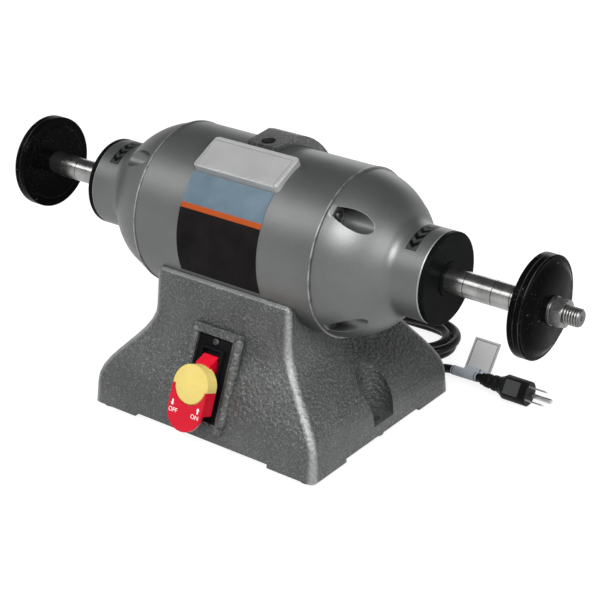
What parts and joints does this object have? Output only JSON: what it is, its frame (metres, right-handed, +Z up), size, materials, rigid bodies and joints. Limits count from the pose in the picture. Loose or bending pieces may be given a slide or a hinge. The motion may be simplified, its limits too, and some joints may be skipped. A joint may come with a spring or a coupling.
{
  "type": "bench buffer",
  "caption": "Double-ended bench motor on a flared cast base, with clamped wheel flanges on threaded arbors, a paddle switch with a pull-out key, and a corded plug.",
  "frame": {"origin": "the plane that the feet stand on, midway between the two bench-bolt holes and under the shaft", "axes": "+X along the shaft to the right-hand arbor as seen from the switch, -Y to the switch side, +Z up"},
  "size_m": [0.621, 0.3874, 0.2576],
  "materials": {
    "base_paint": "dark grey hammered paint on cast iron",
    "motor_paint": "satin silver-grey paint",
    "black_paint": "glossy black paint",
    "turned_steel": "bright turned steel",
    "plated_steel": "zinc-plated steel",
    "lamination": "stacked laminations",
    "copper": "varnished copper wire",
    "plate_metal": "satin aluminium, bare",
    "label_print": "printed foil in blue-grey, orange and black bands, bare",
    "sticker_print": "pale sticker with a dark arrow",
    "seal_rubber": "black rubber",
    "black_plastic": "black moulded plastic",
    "red_plastic": "red moulded plastic",
    "yellow_plastic": "yellow moulded plastic",
    "cord_rubber": "black cord jacket",
    "tag_print": "pale plastic tag, bare",
    "plug_brass": "nickel-plated brass"
  },
  "bodies": {
    "housing": {"base_casting": "base_paint", "bottom_plate": "plated_steel", "bottom_screws": "plated_steel", "rubber_feet": "seal_rubber", "foot_screws": "plated_steel", "motor_bolts": "plated_steel", "motor_band": "motor_paint", "raised_plate": "plate_metal", "data_label": "label_print", "left_end_bell": "motor_paint", "left_bell_screws": "plated_steel", "left_end_cover": "black_paint", "left_arrow_sticker": "sticker_print", "left_shaft_seal": "seal_rubber", "left_bearing": "plated_steel", "right_end_bell": "motor_paint", "right_bell_screws": "plated_steel", "right_end_cover": "black_paint", "right_arrow_sticker": "sticker_print", "right_shaft_seal": "seal_rubber", "right_bearing": "plated_steel", "bearing_washers": "plated_steel", "stator_core": "lamination", "stator_windings": "copper", "switch_plate": "black_plastic", "switch_screws": "plated_steel", "switch_bezel": "black_plastic", "switch_body": "black_plastic", "capacitor": "black_plastic", "capacitor_clamp": "plated_steel", "strain_relief": "cord_rubber", "cord_lead": "cord_rubber", "cord_hank": "cord_rubber", "hank_tie": "black_plastic", "cord_tail": "cord_rubber", "cord_label": "tag_print", "plug_body": "cord_rubber", "plug_blades": "plug_brass", "plug_ground_pin": "plug_brass"},
    "rotor": {"shaft": "turned_steel", "rotor_core": "lamination", "left_long_sleeve": "turned_steel", "left_short_sleeve": "turned_steel", "left_end_sleeve": "turned_steel", "left_inner_flange": "black_paint", "right_long_sleeve": "turned_steel", "right_short_sleeve": "turned_steel", "right_end_sleeve": "turned_steel", "right_inner_flange": "black_paint"},
    "left_flange": {"left_outer_flange": "black_paint", "left_arbor_washer": "plated_steel"},
    "right_flange": {"right_outer_flange": "black_paint", "right_arbor_washer": "plated_steel"},
    "left_nut": {"left_arbor_nut": "plated_steel"},
    "right_nut": {"right_arbor_nut": "plated_steel"},
    "switch_paddle": {"paddle": "red_plastic", "paddle_pin": "plated_steel"},
    "key": {"safety_key": "yellow_plastic"}
  },
  "joints": [
    {"name": "rotor_spin", "type": "hinge", "parent": "housing", "child": "rotor", "pos_m": [0, 0, 0.175], "axis": [1, 0, 0], "continuous": true},
    {"name": "right_flange_slide", "type": "slide", "parent": "rotor", "child": "right_flange", "axis": [1, 0, 0], "range_m": [0, 0.012]},
    {"name": "left_flange_slide", "type": "slide", "parent": "rotor", "child": "left_flange", "axis": [-1, 0, 0], "range_m": [0, 0.012]},
    {"name": "right_nut_travel", "type": "slide", "parent": "right_flange", "child": "right_nut", "axis": [1, 0, 0], "range_m": [0, 0.01]},
    {"name": "left_nut_travel", "type": "slide", "parent": "left_flange", "child": "left_nut", "axis": [-1, 0, 0], "range_m": [0, 0.01]},
    {"name": "paddle_swing", "type": "hinge", "parent": "housing", "child": "switch_paddle", "pos_m": [0, -0.0881, 0.07962], "axis": [-1, 0, 0], "range_deg": [0, 20]},
    {"name": "key_pull", "type": "slide", "parent": "switch_paddle", "child": "key", "axis": [0, -0.9272, 0.3746], "range_m": [0, 0.02]}
  ]
}
